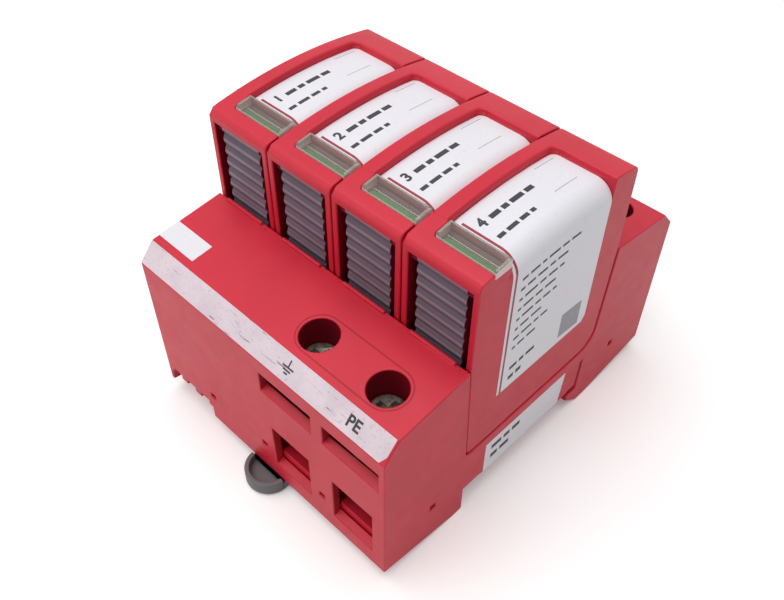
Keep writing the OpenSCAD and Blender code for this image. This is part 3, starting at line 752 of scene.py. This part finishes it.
def block(bm, low, high):
    """Adds a box between two corners in millimetres to a mesh in metres."""
    verts = bmesh.ops.create_cube(bm, size=1)["verts"]
    bmesh.ops.scale(bm, vec=[(h - l) * MM for l, h in zip(low, high)], verts=verts)
    bmesh.ops.translate(bm, vec=[(h + l) / 2 * MM for l, h in zip(low, high)], verts=verts)


# The plates take the dark red of the painted shade.
for pole in POLES:
    stop_bm = bmesh.new()
    for left, right in (STOP_X, (-STOP_X[1], -STOP_X[0])):
        block(stop_bm, (left, -STOP_HALF, STOP_Z[0]), (right, STOP_HALF, STOP_Z[1]))
    bmesh.ops.translate(stop_bm, vec=(pole_x[pole] * MM, 0, 0), verts=stop_bm.verts)
    add_piece(stop_bm, f"module_{pole}_light_stop", f"module_{pole}", [red_painted_shade])
print(len(POLES), "modules closed to the light")

# %% [markdown]
# ## Windows
#
# A window is a clear cap over the flag. At its open end it is only a thin slab, so its wall is cut
# short there. Moving the end points alone would slant the long walls, so these are cut through on
# both sides of the step first. The roof is paler along its border, which is an inset of its outer
# face, but not in front of the flag.

# %% Glaze the windows
LEDGE_Z = 60.9
LEDGE_CUTS = (7.8, 8.2)
PANE_END = 8
ROOF_Z, ROOF_RIM = 61.5, 0.5 * MM
BACK_WALL_Y = -15.5
FLAG_FRONT = -18.3
PANE_ROUND = 0.12 * MM
STEEP, LEVEL = 0.8, 0.95


def cut_across(bm, axis, places, near=1e-6):
    """Cuts a mesh across an axis at each of the places, in the units of the mesh."""
    normal = Vector((0, 0, 0))
    normal[axis] = 1
    for place in places:
        bmesh.ops.bisect_plane(bm, geom=bm.verts[:] + bm.edges[:] + bm.faces[:], dist=near,
                               plane_co=normal * place, plane_no=normal)


def pane_tone(face):
    """The finish of a pane's face: 2 on the back wall, 1 on the other walls, or else 0."""
    at_back = abs(face.normal.y) > STEEP and face.calc_center_median().y > BACK_WALL_Y * MM
    return 2 if at_back else int(abs(face.normal.z) < STEEP)


for pole in POLES:
    name, x = f"module_{pole}", pole_x[pole]
    pane_bm = copied(f"{name}_window")
    cut_across(pane_bm, 0, [(x + cut) * MM for cut in LEDGE_CUTS], near=1e-7)
    for vert in pane_bm.verts:
        if vert.co.x / MM > x + PANE_END and vert.co.z / MM < WINDOW_FLOOR + LEDGE_NEAR:
            vert.co.z = LEDGE_Z * MM
    rounded(pane_bm, outer_edges(pane_bm), PANE_ROUND, segments=2)
    for face in pane_bm.faces:
        face.material_index = pane_tone(face)
    roof = [f for f in pane_bm.faces
            if f.normal.z > LEVEL and f.calc_center_median().z > ROOF_Z * MM]
    border = bmesh.ops.inset_region(pane_bm, faces=roof, thickness=ROOF_RIM, use_even_offset=True,
                                    use_boundary=True)["faces"]
    for face in border:
        if face.calc_center_median().y > FLAG_FRONT * MM:
            face.material_index = 3
    add_piece(pane_bm, f"{name}_pane", name, [clear_roof, clear_wall, clear_back, clear_rim],
              [f"{name}_window"])
print(len(POLES), "panes, with", len(border), "faces in a border")

# %% [markdown]
# Green in the window says that a module still protects. When it is worn out, the flag slides away.
# On the real device the flag runs close below the roof of the window, so the head of the solid's
# flag is lifted until it almost touches, and made a little wider.

# %% Raise the flags
FLAG_HEAD, FLAG_LIFT = 59, 0.65
FLAG_BACK, FLAG_GROWTH = -17.1, 0.15
FLAG_ROUND = 0.08 * MM
for pole in POLES:
    flag = f"module_{pole}_flag"
    flag_bm = copied(flag)
    for vert in flag_bm.verts:
        if vert.co.z > FLAG_HEAD * MM:
            vert.co.z += FLAG_LIFT * MM
            vert.co.y += FLAG_GROWTH * MM if vert.co.y > FLAG_BACK * MM else 0
    rounded(flag_bm, outer_edges(flag_bm), FLAG_ROUND, segments=2)
    add_piece(flag_bm, f"{flag}_strip", flag, [flag_green], [flag])
print(len(POLES), "flags lifted by", FLAG_LIFT, "mm")

# %% [markdown]
# Under each window lies a grey-brown bed over which the flag slides. A thin rib is moulded into
# the roof behind the flag, and its pale colour is a painted highlight on that edge. A red ledge
# closes the rest of the open end. All three are boxes with barely broken edges.

# %% Furnish the windows
LEDGE_GAP = 0.02
FURNITURE_ROUND = 0.04 * MM
FURNITURE = {
    "bed": (bed_brown, "red_inner", (-4.2, -18.4, 59.21), (8.0, -15.25, 59.42)),
    # The rib's pale colour is a painted highlight.
    "rib": (clear_wall, "clear_window", (-3.9, -16.7, 61.24), (7.7, -16.6, 61.36)),
    "ledge": (red_shell, "red_housing", (LEDGE_CUTS[1] + LEDGE_GAP, WINDOW_FRONT, WINDOW_FLOOR),
              (MODULE_SIDE, FIELD_FRONT, LEDGE_Z - LEDGE_GAP)),
}
for pole in POLES:
    for part, (finish, slot, low, high) in FURNITURE.items():
        part_bm = bmesh.new()
        block(part_bm, low, high)
        bmesh.ops.translate(part_bm, vec=(pole_x[pole] * MM, 0, 0), verts=part_bm.verts)
        rounded(part_bm, outer_edges(part_bm), FURNITURE_ROUND, segments=2)
        add_piece(part_bm, f"module_{pole}_window_{part}", f"module_{pole}", [finish])
print(", ".join(FURNITURE), "in every window")

# %% [markdown]
# ## Labels that turn a corner
#
# The label is a white film in a sunk field. It follows the arch of the top, turns over a round edge
# and runs down the right side. It is easiest to draw flat, in millimetres: the first direction runs
# across the top and on down the side, the second runs along the module. The flat sheet is then cut
# where it has to bend, and every point is moved to its place on the surface.

# %% Find the place of a label's points
FIELD_DEPTH = 1.6
TURN_R = 4
TOP_WIDTH = MODULE_SIDE - TURN_R - FIELD_LEFT
TURN_LENGTH = TURN_R * math.pi / 2
SIDE = TOP_WIDTH + TURN_LENGTH
FIELD_R = CROWN_R - FIELD_DEPTH
LABEL_LOW = 25.4


def arch_z(radius, along):
    """The height of an arch of that radius round the axis of the crown."""
    return ARCH_Z + math.sqrt(radius ** 2 - along ** 2)


def on_label_face(across, along, lift):
    """The place of a flat point on the label field, lifted off it, in millimetres."""
    if across < TOP_WIDTH:
        return Vector((FIELD_LEFT + across, along, arch_z(FIELD_R + lift, along)))
    angle = min((across - TOP_WIDTH) / TURN_R, math.pi / 2)
    reach = TURN_R + lift
    x = MODULE_SIDE - TURN_R + reach * math.sin(angle)
    radius = FIELD_R - TURN_R + reach * math.cos(angle)
    down = max(0, across - SIDE)
    return Vector((x, along, max(LABEL_LOW, arch_z(radius, along) - down)))


print("the side of a label starts", round(SIDE, 2), "mm from its left edge")

# %% Helpers for flat sheets
TURN_STEPS = 8
BENDS = range(-14, 15, 2)
SHEET_MERGE = 1e-4


def flat_bar(bm, across, along):
    """Adds a flat bar between two values in each direction of the flat sheet."""
    verts = bmesh.ops.create_grid(bm, x_segments=1, y_segments=1, size=0.5)["verts"]
    bmesh.ops.scale(bm, vec=(across[1] - across[0], along[1] - along[0], 1), verts=verts)
    bmesh.ops.translate(bm, vec=(sum(across) / 2, sum(along) / 2, 0), verts=verts)
    return verts


def trim(bm, place, outward):
    """Cuts off what lies beyond a slanted line of the flat sheet."""
    bmesh.ops.bisect_plane(bm, geom=bm.verts[:] + bm.edges[:] + bm.faces[:], dist=1e-6,
                           clear_outer=True, plane_co=place, plane_no=outward)
    bmesh.ops.remove_doubles(bm, verts=bm.verts, dist=SHEET_MERGE)


def thicken(bm, thickness):
    """Draws a flat sheet out into a closed one of that thickness."""
    drawn = bmesh.ops.extrude_face_region(bm, geom=bm.faces[:])["geom"]
    top = [item for item in drawn if isinstance(item, bmesh.types.BMVert)]
    bmesh.ops.translate(bm, vec=(0, 0, thickness), verts=top)


def wrap(bm, x, lift, thickness):
    """Gives a flat sheet a thickness and bends it over the label field of a module at x."""
    cut_across(bm, 0, [TOP_WIDTH + TURN_LENGTH * k / TURN_STEPS for k in range(TURN_STEPS + 1)])
    cut_across(bm, 1, BENDS)
    thicken(bm, thickness)
    for vert in bm.verts:
        vert.co = on_label_face(vert.co.x, vert.co.y, lift + vert.co.z) + Vector((x, 0, 0))
    bmesh.ops.dissolve_degenerate(bm, edges=bm.edges, dist=SHEET_MERGE)
    bmesh.ops.recalc_face_normals(bm, faces=bm.faces)
    bmesh.ops.scale(bm, vec=(MM, MM, MM), verts=bm.verts)


# %% [markdown]
# The film itself is one quad. Bevelling a corner point instead of an edge rounds the corner of the
# sheet, just like the corner of the sunk field. The rear corner at the foot is cut off at a slant.

# %% Lay the label films
LABEL_LEFT, LABEL_FRONT, LABEL_BACK = 0.12, -13.9, 14.95
LABEL_END = SIDE + 32.8
CORNER_R = 1.4
FOOT_CUT, FOOT_SLANT = Vector((SIDE + 31.8, 14.2, 0)), (1, 2, 0)
FILM, FILM_LIFT = 0.05, 0.01
for pole in POLES:
    film_bm = bmesh.new()
    corners = flat_bar(film_bm, (LABEL_LEFT, LABEL_END), (LABEL_FRONT, LABEL_BACK))
    rear_left = [v for v in corners if v.co.x < 1 and v.co.y > 0]
    bmesh.ops.bevel(film_bm, geom=rear_left, offset=CORNER_R, offset_type="OFFSET", segments=6,
                    profile=0.5, affect="VERTICES", clamp_overlap=False, material=-1)
    trim(film_bm, FOOT_CUT, FOOT_SLANT)
    wrap(film_bm, pole_x[pole], FILM_LIFT, FILM)
    film = add_piece(film_bm, f"module_{pole}_label", f"module_{pole}", [label_white])
print("film:", len(film.data.polygons), "faces")

# %% [markdown]
# ## Print
#
# The print on the labels is kept plain: a pole number, rows of bars, a grey field and thin rules.
# Text is made as a text object, turned into a mesh, and then treated like any other flat shape. All
# the print in one colour is one piece.

# %% Helpers for print
INK, INK_LIFT = 0.025, 0.05
TEXT_MERGE = 1e-5


def flat_text(bm, words, size, place, turn=0.0, weight=0.0):
    """Adds words to a flat sheet, with their start at a place and turned by an angle."""
    curve = bpy.data.curves.new("words", "FONT")
    curve.body = words
    curve.size = size
    curve.offset = weight
    writer = bpy.data.objects.new("words", curve)
    bpy.context.scene.collection.objects.link(writer)
    bpy.context.view_layer.update()
    mesh = bpy.data.meshes.new_from_object(writer)
    mesh.transform(Matrix.Translation((*place, 0)) @ Matrix.Rotation(turn, 4, "Z"))
    bm.from_mesh(mesh)
    bpy.data.objects.remove(writer)
    bpy.data.curves.remove(curve)
    bpy.data.meshes.remove(mesh)
    bmesh.ops.remove_doubles(bm, verts=bm.verts, dist=TEXT_MERGE)


def bar_row(bm, foot, height, start, lengths, gap=0.7):
    """Adds a row of bars along the module, with their lower edge at foot."""
    for length in lengths:
        flat_bar(bm, (foot - height, foot), (start, start + length))
        start += length + gap


def lay_print(bm, pole, colour, finish):
    """Wraps flat print over the label of a pole and makes it a piece."""
    wrap(bm, pole_x[pole], INK_LIFT, INK)
    add_piece(bm, f"module_{pole}_print_{colour}", f"module_{pole}", [finish])


# %% Print on the labels
NUMBER_SIZE, NUMBER_PLACE, NUMBER_WEIGHT = 3.2, (5.0, -11.4), 0.12
TOP_ROWS = [(4.7, 1.1, -8.6, (2.6, 1.6, 3.4, 2.2)), (8.8, 0.9, -11.4, (1.8, 2.8, 2.2, 1.2))]
FOOT_ROWS = [(SIDE + 27.0, 0.9, -10.8, (2.2, 1.4, 2.6)), (SIDE + 30.0, 1.1, -10.8, (1.6, 1.6))]
ROW_STEP, ROW_HEIGHT, ROW_START = 2.6, 0.6, -11.0
SIDE_LENGTHS = (
    (1.6, 2.6, 1.2, 3.2, 2.0, 2.8), (1.2, 2.2, 2.8, 1.6, 3.0), (0.9, 3.6, 1.8, 2.6, 1.4),
    (0.9, 2.8, 2.0, 3.2), (0.9, 3.2, 1.6, 2.2, 1.2), (0.9, 2.4, 3.0), (1.6, 3.0, 1.4, 2.0),
    (0.9, 2.0, 2.6),
)
SIDE_ROWS = [(SIDE + ROW_STEP + ROW_STEP * row, ROW_HEIGHT, ROW_START, lengths)
             for row, lengths in enumerate(SIDE_LENGTHS)]
GREY_RULES = [((1.2, 1.34), (7.5, 13.4)), ((7.9, 8.04), (4.8, 11.6))]
GREY_FIELD = ((SIDE + 24.2, SIDE + 31), (5.4, 12.2))
RED_RULE = ((1.5, LABEL_END), (-13.2, -12.65))
for pole in POLES:
    black_bm = bmesh.new()
    flat_text(black_bm, str(pole), NUMBER_SIZE, NUMBER_PLACE, math.pi / 2, NUMBER_WEIGHT)
    for row in TOP_ROWS + SIDE_ROWS + FOOT_ROWS:
        bar_row(black_bm, *row)
    lay_print(black_bm, pole, "black", ink_black)
    grey_bm = bmesh.new()
    for bar in [*GREY_RULES, GREY_FIELD]:
        flat_bar(grey_bm, *bar)
    lay_print(grey_bm, pole, "grey", ink_grey)
    red_bm = bmesh.new()
    flat_bar(red_bm, *RED_RULE)
    lay_print(red_bm, pole, "red", ink_red)
print("print on", len(POLES), "labels")

# %% [markdown]
# ## Papers on the base
#
# Three papers stick to the base itself, and the first is the long marking strip on the sloped edge.
# Each is a thin flat sheet, drawn in its own plane and then set in place by a matrix whose columns
# are the two directions of the sheet and its normal.

# %% Stick the strip to the base
BASE_SIDE = 36
CHAMFER = (Vector((0, -45, 34.3)), Vector((0, -41.2, 38.4)))
STRIP_ENDS, STRIP_MARGIN = (-BASE_SIDE + 0.15, BASE_SIDE - 0.5), 0.12
STRIP_CUT, STRIP_SLANT = (BASE_SIDE - 1.4, STRIP_MARGIN, 0), (1, -0.55, 0)
up_strip = (CHAMFER[1] - CHAMFER[0]).normalized()
along_rail = Vector((1, 0, 0))


def set_down(bm, origin, right, up, lift, thickness):
    """Gives a flat sheet a thickness and sets it down on a plane of the base."""
    thicken(bm, thickness)
    out = right.cross(up).normalized()
    turn = Matrix((right, up, out)).transposed().to_4x4()
    place = Matrix.Translation(origin + out * lift) @ turn
    bmesh.ops.transform(bm, matrix=Matrix.Scale(MM, 4) @ place, verts=bm.verts)
    bmesh.ops.recalc_face_normals(bm, faces=bm.faces)


strip_bm = bmesh.new()
strip_width = (CHAMFER[1] - CHAMFER[0]).length
flat_bar(strip_bm, STRIP_ENDS, (STRIP_MARGIN, strip_width - STRIP_MARGIN))
trim(strip_bm, STRIP_CUT, STRIP_SLANT)
set_down(strip_bm, CHAMFER[0], along_rail, up_strip, FILM_LIFT, FILM)
add_piece(strip_bm, "marking_strip", "base", [strip_paper])
print("sloped edge of", round(strip_width, 2), "mm")

# %% [markdown]
# The strip names the two earth terminals, with the earth sign and with two letters. The sign is a
# stem over three bars, each longer than the one below it.

# %% Mark the strip
LETTER_SIZE, LETTER_PLACE, LETTER_WEIGHT = 3.3, (25.1, 1.6), 0.09
EARTH = Vector((9.1, 1.5))
EARTH_HALVES = (0.5, 1.0, 1.5)
STROKE, BAR_STEP, STEM = 0.34, 0.6, 1.4
marks_bm = bmesh.new()
flat_text(marks_bm, "PE", LETTER_SIZE, LETTER_PLACE, weight=LETTER_WEIGHT)
for step, half in enumerate(EARTH_HALVES):
    foot = EARTH.y + BAR_STEP * step
    flat_bar(marks_bm, (EARTH.x - half, EARTH.x + half), (foot, foot + STROKE))
head = foot + STROKE
flat_bar(marks_bm, (EARTH.x - STROKE / 2, EARTH.x + STROKE / 2), (head, head + STEM))
set_down(marks_bm, CHAMFER[0], along_rail, up_strip, INK_LIFT, INK)
add_piece(marks_bm, "strip_marks", "base", [ink_black])
print("earth sign of", len(EARTH_HALVES), "bars")

# %% [markdown]
# The other two papers are a small blank label on the shoulder and a white label low on the right
# side. The low one lies on the outermost face of the base and would make it wider, so its film is
# thinner than the others and its bars are sunk a little into it.

# %% Add the two white labels
SHOULDER_TOP, SHOULDER_EDGE = Vector((0, -23.1, 40.5)), CHAMFER[1]
BLANK_LABEL = ((-35.9, -24.4), (1.7, 6.9))
SIDE_LABEL = ((-15, 12.3), (0.1, 9.9))
SIDE_CUT, SIDE_SLANT = (12.3, 9.9, 0), (9.8, -1, 0)
SIDE_BARS = ((6.6, (3.2, 2.0, 2.6)), (3.4, (2.2, 3.0)))
BAR_START, BAR_HEIGHT, BAR_GAP = -13, 1.3, 0.8
INK_SINK = 0.01
up_shoulder = (SHOULDER_TOP - SHOULDER_EDGE).normalized()
blank_bm = bmesh.new()
flat_bar(blank_bm, *BLANK_LABEL)
set_down(blank_bm, SHOULDER_EDGE, along_rail, up_shoulder, FILM_LIFT, FILM)
add_piece(blank_bm, "blank_label", "base", [label_white])

side_corner = Vector((BASE_SIDE, 0, 0))
along_base, upward = Vector((0, 1, 0)), Vector((0, 0, 1))
side_bm = bmesh.new()
flat_bar(side_bm, *SIDE_LABEL)
trim(side_bm, SIDE_CUT, SIDE_SLANT)
set_down(side_bm, side_corner, along_base, upward, 0, FILM / 2)
add_piece(side_bm, "side_label", "base", [label_white])
lines_bm = bmesh.new()
for foot, lengths in SIDE_BARS:
    start = BAR_START
    for length in lengths:
        flat_bar(lines_bm, (start, start + length), (foot, foot + BAR_HEIGHT))
        start += length + BAR_GAP
set_down(lines_bm, side_corner, along_base, upward, FILM / 2 - INK_SINK, INK)
add_piece(lines_bm, "side_label_print", "base", [ink_black])
print("three papers on the base")

# %% [markdown]
# ## The line round the earth terminals
#
# A fine, slightly darker line runs round the two earth terminals. A circle that is pulled apart in
# the middle is the right outline. Its face is inset, and the middle is taken out, so that only a
# narrow ring stays.

# %% Draw the line round the earth terminals
LINE_R, LINE_WIDTH, LINE_SIDES = 4.85, 0.32, 64
half_side = Matrix.Rotation(math.pi / LINE_SIDES, 3, "Z")
line_bm = bmesh.new()
bmesh.ops.create_circle(line_bm, cap_ends=True, segments=LINE_SIDES, radius=LINE_R)
bmesh.ops.rotate(line_bm, cent=(0, 0, 0), matrix=half_side, verts=line_bm.verts)
for vert in line_bm.verts:
    vert.co.x += math.copysign(POLE_PITCH / 2, vert.co.x)
middle = line_bm.faces[:]
bmesh.ops.inset_region(line_bm, faces=middle, thickness=LINE_WIDTH, use_even_offset=True,
                       use_boundary=True)
bmesh.ops.delete(line_bm, geom=middle, context="FACES")
hole_row = SHOULDER_EDGE + up_shoulder * (TERMINAL_Y + SHOULDER_EDGE.y) / -up_shoulder.y
set_down(line_bm, hole_row + along_rail * POLE_PITCH, along_rail, up_shoulder, 0, INK)
add_piece(line_bm, "terminal_line", "base", [red_dark_and_painted_shade])
print("line of", LINE_WIDTH, "mm laid")

# %% Measure and finish
def sides(box):
    """The lengths of the three sides of a box, in millimetres."""
    return [(high - low) / MM for low, high in zip(*box)]


new_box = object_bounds()
growth = [round(new - old, 3) for old, new in zip(sides(cad_box), sides(new_box))]
print("size grew by", growth, "mm")
